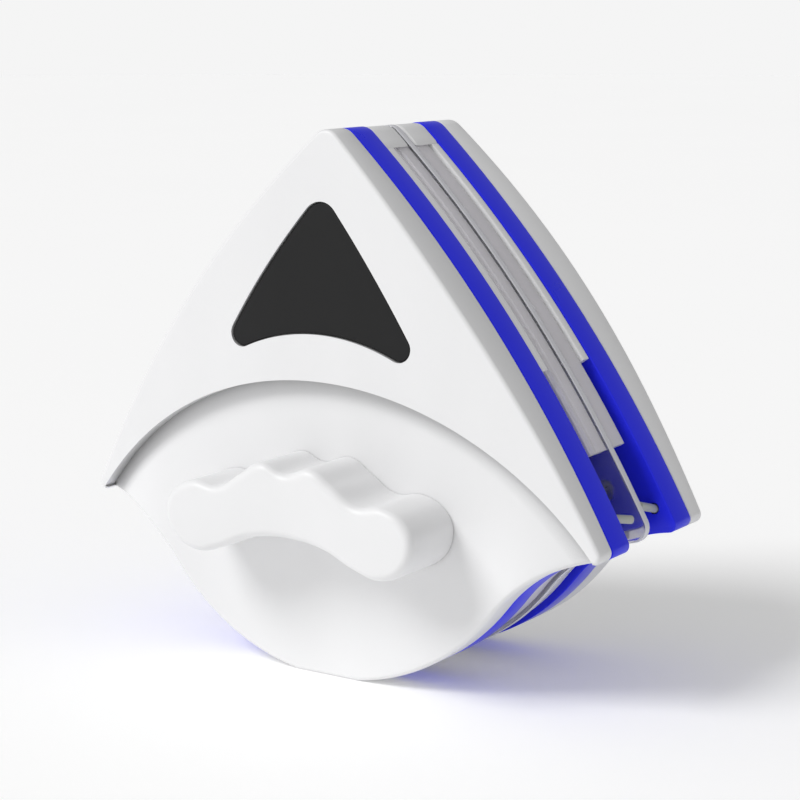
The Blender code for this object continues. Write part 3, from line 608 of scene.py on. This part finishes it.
# The grip is one solid arch of the same white ABS, with two round end lobes and three finger hollows.
# Its back follows the dish and two screws from inside hold it there.
MILLIMETRE = 0.001
GRIP_KNOTS = [(0.0, 19.2), (8.9, 21.6), (16.6, 17.5), (24.6, 12.8), (34.4, 13.3), (42.0, 9.4),
              (44.3, 3.4), (41.2, -4.2), (33.0, -8.0), (24.0, -6.1), (13.5, -1.7), (0.0, 0.0)]
GRIP_ROLL = 0.0026
GRIP_ROLL_STEPS = 8
GRIP_SHOULDER = 0.008
GRIP_FINENESS = 14
GRIP_FRONT = depths("handle")[1]


def grip_outline():
    """A smooth closed curve through the grip's knots, clockwise from the middle hollow."""
    curve = bpy.data.curves.new("grip", "CURVE")
    curve.dimensions = "2D"
    curve.resolution_u = GRIP_FINENESS
    right = [Vector((x, z)) * MILLIMETRE for x, z in GRIP_KNOTS]
    knots = right + mirrored(right)[1:-1]
    spline = curve.splines.new("BEZIER")
    spline.bezier_points.add(len(knots) - 1)
    for knot, spot in zip(spline.bezier_points, knots):
        knot.co = (spot.x, spot.y, 0)
        knot.handle_left_type = "AUTO"
        knot.handle_right_type = "AUTO"
    spline.use_cyclic_u = True
    holder = bpy.data.objects.new("grip", curve)
    bpy.context.scene.collection.objects.link(holder)
    seen = holder.evaluated_get(bpy.context.evaluated_depsgraph_get())
    run = bpy.data.meshes.new_from_object(seen)
    points = [Vector((v.co.x, v.co.y + CORNER_HEIGHT)) for v in run.vertices]
    bpy.data.objects.remove(holder)
    bpy.data.meshes.remove(run)
    return points


def moved_in(points, distance):
    """A clockwise outline moved inwards."""
    count = len(points)
    ways = [(points[(i + 1) % count] - points[i - 1]).normalized() for i in range(count)]
    return [p + Vector((way.y, -way.x)) * distance for p, way in zip(points, ways)]


grip = flat_face(-1, moved_in(grip_outline(), GRIP_ROLL), GRIP_FRONT)
grow_rim(grip, -1, rolled(GRIP_ROLL, GRIP_ROLL_STEPS) + [(0, GRIP_SHOULDER)])
drop_rim(grip, lambda spot: MID_Y - dish_depth(spot.x, spot.z) - GAP)
close_rim(grip)
piece("white_grip", grip, WHITE, "front_half", "white_abs", "handle")

# The carriers are white ABS rails along both sides of each tray, and the blades are strips of soft
# clear TPE in front of them. The front blades have a groove and a stepped lip, the rear ones one step.
# A white cap clips over the top ends of rails and blades.
STRIP_STEPS = 70
STRIP_SPARE = 0.012
RAIL_INSET = 0.0003
RAIL_WIDTH = 0.0058
RAIL_END = 0.049
BLADE_INSET = 0.0009
BLADE_WIDTH = 0.0024
BLADE_END = 0.026
CAP_HEIGHT = 0.0085
CAP_INSET = 0.0002
CAP_LAP = 0.0003
ON_AXIS = 0.00001
CAP_NEAR_EDGE = 0.0009
CAP_FAR_EDGE = 0.0005
RAIL_EDGE = 0.0007
RAIL_EDGE_STEPS = 3
BLADE_EDGE_STEPS = 2
LIP_EDGE = 0.00015
BLADE_EDGE = 0.0003
LIPS = ((0, 0.0034), (0.0009, 0.0030), (0.0009, 0.0024), (0.0002, 0.0021), (0.0002, 0.0013),
        (0.0010, 0.0009), (0.0010, 0))
PLAIN_END = ((0, 0.0010), (0.0007, 0.0006), (0.0007, 0))
RAIL_NEAR, RAIL_FAR = depths("front_carrier_right")
BLADE_NEAR, BLADE_FAR = depths("front_blade_right")


def side_angle(inset, rise):
    """Turn about the side's centre, from level, of the point at a height above the corners."""
    return math.asin((CORNER_HEIGHT + rise - SIDE_CENTRE.y) / (SIDE_RADIUS - inset))


def strip(side, hand, profile, rise_low, rise_high):
    """A profile of inset and depth swept along one bowed side and cut off level at the top."""
    shape = bmesh.new()
    inset = profile[0][0]
    low = side_angle(inset, rise_low)
    turn = side_angle(inset, rise_high) + STRIP_SPARE - low
    centre = Vector((SIDE_CENTRE.x, MID_Y, SIDE_CENTRE.y))
    out = Vector((math.cos(low), 0, math.sin(low)))
    ring = [shape.verts.new(centre + out * (SIDE_RADIUS - depth_in) + Vector((0, side * depth, 0)))
            for depth_in, depth in profile]
    edges = [shape.edges.new((ring[i - 1], ring[i])) for i in range(len(ring))]
    bmesh.ops.spin(shape, geom=ring + edges, cent=centre, axis=(0, -1, 0), angle=turn,
                   steps=STRIP_STEPS)
    top = (0, 0, CORNER_HEIGHT + rise_high)
    bmesh.ops.bisect_plane(shape, geom=shape.verts[:] + shape.edges[:] + shape.faces[:],
                           plane_co=top, plane_no=(0, 0, 1), clear_outer=True)
    close_rim(shape)
    if hand == "left":
        bmesh.ops.scale(shape, vec=(-1, 1, 1), verts=shape.verts)
    return shape


def rounded_profile(corners, radius, steps):
    """A closed profile with each of its corners rounded."""
    run = []
    count = len(corners)
    for i in range(count):
        before, here, after = (Vector(corners[(i + k) % count]) for k in (-1, 0, 1))
        start = here + (before - here).normalized() * radius
        end = here + (after - here).normalized() * radius
        for k in range(steps + 1):
            t = k / steps
            run.append(start * (1 - t) ** 2 + here * 2 * t * (1 - t) + end * t ** 2)
    return run


def blade_profile(tread, radius):
    """A blade's section, from insets and distances back from its far edge."""
    back = BLADE_INSET + BLADE_WIDTH
    corners = [(BLADE_INSET + inset, BLADE_FAR - distance) for inset, distance in tread]
    corners = [(BLADE_INSET, BLADE_NEAR)] + corners + [(back, BLADE_FAR), (back, BLADE_NEAR)]
    return rounded_profile(corners, radius, BLADE_EDGE_STEPS)


RAIL_PROFILE = rounded_profile([(RAIL_INSET, RAIL_NEAR), (RAIL_INSET, RAIL_FAR),
                                (RAIL_INSET + RAIL_WIDTH, RAIL_FAR), (RAIL_INSET + RAIL_WIDTH, RAIL_NEAR)],
                               RAIL_EDGE, RAIL_EDGE_STEPS)
BLADE_PROFILES = {"front": blade_profile(LIPS, LIP_EDGE), "rear": blade_profile(PLAIN_END, BLADE_EDGE)}
CLOUD_SCALE = 60
RIPPLE_SCALE = 900


def clear_plastic(name, colour, roughness, transmission, specular):
    """Clear plastic, faintly cloudy, with a fine ripple on its skin."""
    made = Finish(name, Transmission_Weight=transmission, IOR=1.5, Specular_IOR_Level=specular)
    cloud = made.noise(CLOUD_SCALE, 3.0)
    ripple = made.noise(RIPPLE_SCALE, 2.0)
    made.feed(Base_Color=made.mix(cloud, shade(colour, 0.95), shade(colour, 1.06)))
    made.feed(Roughness=roughness + (cloud - 0.5) * 0.12)
    made.feed(Normal=made.bump(ripple + cloud, 0.1, GRAIN_DEPTH))
    return made.material


BLADE_COLOUR = (0.92, 0.90, 0.94)
CLEAR_BLADE = clear_plastic("clear_blade", BLADE_COLOUR, roughness=0.30, transmission=0.35, specular=0.5)
for half, side in HALVES:
    top = APEX_RISE - CAP_HEIGHT + CAP_LAP
    for hand in ("left", "right"):
        piece(f"{half}_rail_{hand}", strip(side, hand, RAIL_PROFILE, RAIL_END, top), WHITE,
              f"{half}_half", "white_abs", f"{half}_carrier_{hand}")
        piece(f"{half}_wiper_{hand}", strip(side, hand, BLADE_PROFILES[half], BLADE_END, top), CLEAR_BLADE,
              f"{half}_half", "clear_blade", f"{half}_blade_{hand}")


def cap_outline(inset=0.0):
    """The outline's apex cut off level, clockwise."""
    level = CORNER_HEIGHT + APEX_RISE - CAP_HEIGHT + inset
    ring = [p for p in outline(CAP_INSET + inset) if p.y > level]
    middle = next(i for i, p in enumerate(ring) if p.x < -ON_AXIS)
    reach = SIDE_RADIUS - CAP_INSET - inset
    half_base = SIDE_CENTRE.x + math.sqrt(reach ** 2 - (level - SIDE_CENTRE.y) ** 2)
    return ring[:middle] + [Vector((half_base, level)), Vector((-half_base, level))] + ring[middle:]


for half, side in HALVES:
    near, far = depths(f"{half}_tip_clip")
    piece(f"{half}_apex_cap", slab(side, cap_outline, near, far, CAP_NEAR_EDGE, CAP_FAR_EDGE), WHITE,
          f"{half}_half", "white_abs", f"{half}_tip_clip")

# The bottom blades are strips of the same clear TPE, as thick as the side blades. They are bent along
# the flares and the belly, and end short of the corners.
LOW_BLADE_INSET = 0.0015
LOW_BLADE_SHORT = 0.0095
LOW_BLADE_END = HALF_WIDTH - LOW_BLADE_SHORT
LOW_BLADE_EDGE = 0.0004


def low_blade_outline(inset=0.0):
    """A band that follows the lower edge and ends short of the corners, clockwise."""
    runs = []
    for depth_in in (LOW_BLADE_INSET + BLADE_WIDTH - inset, LOW_BLADE_INSET + inset):
        end = LOW_BLADE_END - inset
        rise = math.sqrt((FLARE_RADIUS + depth_in) ** 2 - (end - FLARE_CENTRE.x) ** 2)
        right = lower_run(depth_in, Vector((end, FLARE_CENTRE.y + rise)))
        runs.append(right + mirrored(right))
    return list(reversed(runs[0])) + runs[1]


for half, side in HALVES:
    band = slab(side, low_blade_outline, BLADE_NEAR, BLADE_FAR, LOW_BLADE_EDGE, LOW_BLADE_EDGE)
    piece(f"{half}_wiper_bottom", band, CLEAR_BLADE, f"{half}_half", "clear_blade", f"{half}_blade_bottom")

# The pads are cut from looped microfibre on foam and hook onto the trays' working faces. They are
# blown up a little between their edges, as foam fills them.
PAD_INSET = 0.015
PAD_CORNER = 0.009
PAD_VOXEL = 0.003
PAD_SWELL = 0.0012
PAD_SHRINK = 0.0013
PAD_EDGE = 0.0022
PAD_PRESSURE = 4
PAD_FRAMES = 20
LOOP_SCALE = 620
TUFT_SCALE = 900
WOBBLE_SCALE = 260
LOOP_DEPTH = 0.0006
LOOP_COLOUR = (0.80, 0.82, 0.86, 1)
HOLLOW_SHADE_COLOUR = (0.50, 0.53, 0.60, 1)


def pad_outline(inset=0.0):
    """Rounded outline of a pad, inside the blades."""
    return outline(PAD_INSET + inset, PAD_INSET + PAD_CORNER, PAD_INSET + PAD_CORNER)


def microfibre():
    """Short loops in tufts, with painted shade greying the hollows between them."""
    made = Finish("microfibre", Sheen_Weight=0.4, Sheen_Roughness=0.5)
    wobble = made.noise(WOBBLE_SCALE, 2.0)
    loops = made.node("ShaderNodeTexVoronoi", {}, {"Vector": made.place, "Scale": LOOP_SCALE})
    tufts = made.noise(TUFT_SCALE, 5.0)
    # The hollows between the loops are painted darker: painted shade.
    made.feed(Base_Color=made.mix(loops + wobble * 0.4, LOOP_COLOUR, HOLLOW_SHADE_COLOUR))
    made.feed(Roughness=0.86 + tufts * 0.1)
    made.feed(Normal=made.bump(1 - loops + tufts * 0.5, 0.6, LOOP_DEPTH))
    return made.material


def blown_pad(name, side, near, far):
    """A pad's cover with foam pressed out against it."""
    shape = slab(side, lambda inset: pad_outline(inset + PAD_SHRINK), near + PAD_SHRINK,
                 far - PAD_SHRINK, PAD_EDGE, PAD_EDGE)
    pad = bpy.data.objects.new(name, mesh_from(shape, name))
    bpy.context.scene.collection.objects.link(pad)
    remesh = pad.modifiers.new("even", "REMESH")
    remesh.mode = "VOXEL"
    remesh.voxel_size = PAD_VOXEL
    even = bpy.data.meshes.new_from_object(pad.evaluated_get(bpy.context.evaluated_depsgraph_get()))
    pad.modifiers.remove(remesh)
    pad.data = even
    start = [v.co.copy() for v in even.vertices]
    cloth = pad.modifiers.new("foam", "CLOTH")
    cloth.settings.use_pressure = True
    cloth.settings.uniform_pressure_force = PAD_PRESSURE
    cloth.settings.effector_weights.gravity = 0
    scene = bpy.context.scene
    for step in range(1, PAD_FRAMES + 1):
        scene.frame_set(step)
    blown = bpy.data.meshes.new_from_object(pad.evaluated_get(bpy.context.evaluated_depsgraph_get()))
    pad.modifiers.remove(cloth)
    scene.frame_set(1)
    for vert, home in zip(blown.vertices, start):
        push = vert.co - home
        vert.co = home + push.normalized() * min(push.length, PAD_SWELL)
    pad.data = blown
    smooth = pad.modifiers.new("smooth", "SUBSURF")
    smooth.levels = 1
    smooth.render_levels = 1
    pad.data.shade_smooth()
    return pad


FIBRE = microfibre()
for half, side in HALVES:
    near, far = depths(f"{half}_pad")
    pad = blown_pad(f"{half}_fibre_pad", side, near, far)
    pad.data.materials.clear()
    pad.data.materials.append(FIBRE)
    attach(pad, f"{half}_half")
    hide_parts(f"{half}_pad")

# The posts are short tubes of grey acetal, pushed through the trays' floors from inside, where a
# flange stops them. All lean out a little. On each half one falls towards its tip and the other rises.
POST_BORE = 0.0007
POST_BORE_DEPTH = 0.0015
POST_EDGE = 0.0003
FLANGE_RADIUS = 0.0019
FLANGE_DEPTH = 0.001
GREY_COLOUR = (0.44, 0.46, 0.41)
GREY = moulded("grey_acetal", GREY_COLOUR, roughness=0.42, grain=0.4, painted_crease_shade=0.8, specular=0.5)
for half, side in HALVES:
    for hand in ("left", "right"):
        tip, root = post_line(side, hand)
        length = (root - tip).length
        seat = length - FLANGE_DEPTH
        profile = [(POST_BORE, POST_BORE_DEPTH), (POST_BORE, 0), (POST_RADIUS - POST_EDGE, 0),
                   (POST_RADIUS, POST_EDGE), (POST_RADIUS, seat), (FLANGE_RADIUS, seat),
                   (FLANGE_RADIUS, length)]
        piece(f"{half}_peg_{hand}", turned(profile, tip, root), GREY, f"{half}_half", "grey_acetal",
              f"{half}_post_{hand}")

# The tether eye is a staple of zinc-plated steel wire, bent to a half round and pressed by both ends
# into the rear cover's dish.
EYE_HALF_SPAN = 0.005
EYE_WIRE = 0.0012
EYE_SIDES = 20
EYE_BEND_STEPS = 24
LINE_SCALE = 500
SPOT_SCALE = 90


def plated(name, colour, roughness, stretch):
    """Plated steel with fine drawn or brushed lines and a spotty bloom."""
    made = Finish(name, Metallic=1.0)
    lines = made.noise(LINE_SCALE, 3.0, stretch)
    spots = made.noise(SPOT_SCALE, 5.0)
    made.feed(Base_Color=made.mix(spots, shade(colour, 0.86), shade(colour, 1)))
    made.feed(Roughness=roughness + (lines - 0.5) * 0.18 + (spots - 0.5) * 0.08)
    made.feed(Normal=made.bump(lines, 0.15, GRAIN_DEPTH))
    return made.material


def moved_ring(shape, edges, run):
    """Carry an open ring of edges on along Y, and give back its new verts."""
    grown = bmesh.ops.extrude_edge_only(shape, edges=edges)["geom"]
    ring = [item for item in grown if isinstance(item, bmesh.types.BMVert)]
    bmesh.ops.translate(shape, verts=ring, vec=(0, run, 0))
    return ring


def staple():
    """Two straight legs and a half-round bend of wire."""
    low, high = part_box("tether_eye")
    height = (low[2] + high[2]) / 2
    crown = high[1] - EYE_WIRE - EYE_HALF_SPAN
    shape = bmesh.new()
    foot = Matrix.Translation((EYE_HALF_SPAN, low[1], height)) @ Matrix.Rotation(math.pi / 2, 4, "X")
    bmesh.ops.create_circle(shape, cap_ends=False, segments=EYE_SIDES, radius=EYE_WIRE, matrix=foot)
    ring = moved_ring(shape, shape.edges[:], crown - low[1])
    hoop = ring + [e for e in shape.edges if all(v in ring for v in e.verts)]
    spun = bmesh.ops.spin(shape, geom=hoop, cent=(0, crown, height), axis=(0, 0, 1), angle=math.pi,
                          steps=EYE_BEND_STEPS)
    last = [item for item in spun["geom_last"] if isinstance(item, bmesh.types.BMEdge)]
    moved_ring(shape, last, low[1] - crown)
    close_rim(shape)
    return shape


STEEL = plated("zinc_steel", (0.62, 0.63, 0.66), roughness=0.30, stretch=(1, 0.2, 1))
piece("wire_eye", staple(), STEEL, "rear_half", "zinc_steel", "tether_eye")

# The clear sheet lies loose between the halves and keeps their pads apart. It is cut from acrylic,
# has a rounded whitish rim, and lifts out upwards.
SHEET_INSET = 0.0003
SHEET_CORNER = 0.005
SHEET_EDGE = 0.0008
RIM_TILT = 0.7
SHEET_HALF = depths("separator_sheet")[1]
SHEET_COLOUR = (0.93, 0.93, 0.97)
RIM_COLOUR = (0.88, 0.88, 0.93)
sheet_shape = slab(1, lambda inset: outline(SHEET_INSET + inset, SHEET_CORNER, SHEET_CORNER),
                   -SHEET_HALF, SHEET_HALF, SHEET_EDGE, SHEET_EDGE)
CLEAR_SHEET = clear_plastic("clear_sheet", SHEET_COLOUR, roughness=0.10, transmission=0.95, specular=0.25)
SHEET_RIM = clear_plastic("sheet_rim", RIM_COLOUR, roughness=0.25, transmission=0.25, specular=0.5)
divider = piece("clear_divider", sheet_shape, CLEAR_SHEET, "separator", "clear_sheet", "separator_sheet")
divider.data.materials.append(SHEET_RIM)
for face in divider.data.polygons:
    face.material_index = 1 if abs(face.normal.y) < RIM_TILT else 0

# The screws are zinc-plated pan heads with a cross recess. The magnets are nickel-plated blocks and
# the yoke plates zinc-plated steel; all of them are shut inside the trays.
RECESS_ARM = 0.0032
RECESS_SLOT = 0.0007
RECESS_SINK = 0.0012
HEAD_PROFILE = ((0.55, 0), (0.85, 0.0003), (1, 0.0010), (1, HEAD_DEPTH))
POINT_LENGTH = 0.0016
POINT_RADIUS = 0.0004


def pan_head_screw(node):
    """Domed head and a shank with a pointed end."""
    low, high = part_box(node)
    spot = middle_of(node)
    start, end = (high[1], low[1]) if node.startswith("front") else (low[1], high[1])
    length = abs(end - start)
    profile = [(HEAD_RADIUS * share, depth) for share, depth in HEAD_PROFILE]
    profile += [(SHANK_RADIUS, HEAD_DEPTH), (SHANK_RADIUS, length - POINT_LENGTH), (POINT_RADIUS, length)]
    return turned(profile, Vector((spot.x, start, spot.y)), Vector((spot.x, end, spot.y)))


def cross_arms(spot, level):
    """Both arms of a cross recess, across a screw head's top."""
    arms = []
    for size in ((RECESS_ARM, RECESS_SLOT), (RECESS_SLOT, RECESS_ARM)):
        arm = bmesh.new()
        bmesh.ops.create_cube(arm, size=1.0)
        bmesh.ops.scale(arm, vec=(size[0], 2 * RECESS_SINK, size[1]), verts=arm.verts)
        bmesh.ops.translate(arm, vec=(spot.x, level, spot.y), verts=arm.verts)
        arms.append(arm)
    return arms


for half, side in HALVES:
    for spot in ("top", "left", "right"):
        node = f"{half}_screw_{spot}"
        made = piece(f"{half}_fixing_{spot}", pan_head_screw(node), STEEL, f"{half}_half", "zinc_steel",
                     node)
        for arm in cross_arms(middle_of(node), MID_Y + side * depths(node)[0]):
            cut(made, arm)
NICKEL = plated("nickel_plate", (0.72, 0.70, 0.66), roughness=0.22, stretch=(1, 1, 0.15))
for node in ("handle_screw_left", "handle_screw_right"):
    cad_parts[node].material_slots[0].material = STEEL
for half, side in HALVES:
    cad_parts[f"{half}_yoke_plate"].material_slots[0].material = STEEL
    for number in (1, 2, 3, 4):
        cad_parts[f"{half}_magnet_{number}"].material_slots[0].material = NICKEL

# The studio: a wide floor of pale paper that glows faintly, one soft sun from the upper left, and a
# room that is brighter on that side. The camera sees an even backdrop, brighter than the room's light.
FLOOR_RADIUS = 6.0
PAPER_GLOW = 0.15
PAPER_DARKER = (0.93, 0.93, 0.93, 1)
PAPER_LIGHTER = (0.95, 0.95, 0.95, 1)
CAMERA_AZIMUTH = math.radians(33.6)
CAMERA_ELEVATION = math.radians(10.28)
CAMERA_DISTANCE = 0.67272
AIM_RIGHT = 0.002887
AIM_UP = 0.03214
LENS = 97.2
SENSOR = 36
SUN_STRENGTH = 1.68
SUN_SOFTNESS = math.radians(26)
SUN_FRONT = 0.25
SUN_LEFT = 0.7
SUN_UP = 0.66
GLOW_FRONT = 0.5
GLOW_LEFT = 0.75
GLOW_UP = 0.35
GLOW_LIGHT = 0.34
ROOM_LIGHT = 0.34
BACKDROP_LIGHT = 0.912

floor_shape = bmesh.new()
bmesh.ops.create_circle(floor_shape, cap_ends=True, segments=96, radius=FLOOR_RADIUS)
floor_mesh = bpy.data.meshes.new("floor")
floor_shape.to_mesh(floor_mesh)
floor_shape.free()
floor = bpy.data.objects.new("floor", floor_mesh)
bpy.context.scene.collection.objects.link(floor)
PAPER = Finish("paper", Roughness=0.9, Emission_Color=(1, 1, 1, 1), Emission_Strength=PAPER_GLOW)
PAPER.feed(Base_Color=PAPER.mix(PAPER.noise(3, 2.0), PAPER_DARKER, PAPER_LIGHTER))
floor_mesh.materials.append(PAPER.material)

right = Vector((math.cos(CAMERA_AZIMUTH), math.sin(CAMERA_AZIMUTH), 0))
back = Vector((math.sin(CAMERA_AZIMUTH) * math.cos(CAMERA_ELEVATION),
               -math.cos(CAMERA_AZIMUTH) * math.cos(CAMERA_ELEVATION), math.sin(CAMERA_ELEVATION)))
up = back.cross(right)
camera = bpy.data.objects.new("camera", bpy.data.cameras.new("camera"))
bpy.context.scene.collection.objects.link(camera)
camera.data.lens = LENS
camera.data.sensor_width = SENSOR
aim = Vector((0, MID_Y, CORNER_HEIGHT)) + right * AIM_RIGHT + up * AIM_UP
camera.location = aim + back * CAMERA_DISTANCE
camera.rotation_euler = Matrix((right, up, back)).transposed().to_euler()
bpy.context.scene.camera = camera
bpy.context.scene.view_settings.view_transform = "Standard"

sun = bpy.data.objects.new("sun", bpy.data.lights.new("sun", "SUN"))
bpy.context.scene.collection.objects.link(sun)
sun.data.energy = SUN_STRENGTH
sun.data.angle = SUN_SOFTNESS
sun_way = back * SUN_FRONT - right * SUN_LEFT + Vector((0, 0, SUN_UP))
sun.rotation_euler = sun_way.to_track_quat("Z", "Y").to_euler()

world = bpy.data.worlds.new("studio")
bpy.context.scene.world = world
world.use_nodes = True
sky = world.node_tree
way = sky.nodes.new("ShaderNodeTexCoord")
facing = sky.nodes.new("ShaderNodeVectorMath")
facing.operation = "DOT_PRODUCT"
glow_way = back * GLOW_FRONT - right * GLOW_LEFT + Vector((0, 0, GLOW_UP))
facing.inputs[1].default_value = glow_way.normalized()
glow = sky.nodes.new("ShaderNodeMapRange")
glow.inputs["To Min"].default_value = ROOM_LIGHT
glow.inputs["To Max"].default_value = ROOM_LIGHT + GLOW_LIGHT
seen = sky.nodes.new("ShaderNodeLightPath")
strength = sky.nodes.new("ShaderNodeMix")
strength.inputs[3].default_value = BACKDROP_LIGHT
sky.links.new(way.outputs["Generated"], facing.inputs[0])
sky.links.new(facing.outputs["Value"], glow.inputs["Value"])
sky.links.new(seen.outputs["Is Camera Ray"], strength.inputs[0])
sky.links.new(glow.outputs["Result"], strength.inputs[2])
sky.links.new(strength.outputs[0], sky.nodes["Background"].inputs["Strength"])
sky.nodes["Background"].inputs["Color"].default_value = (1, 1, 1, 1)

bpy.context.view_layer.update()
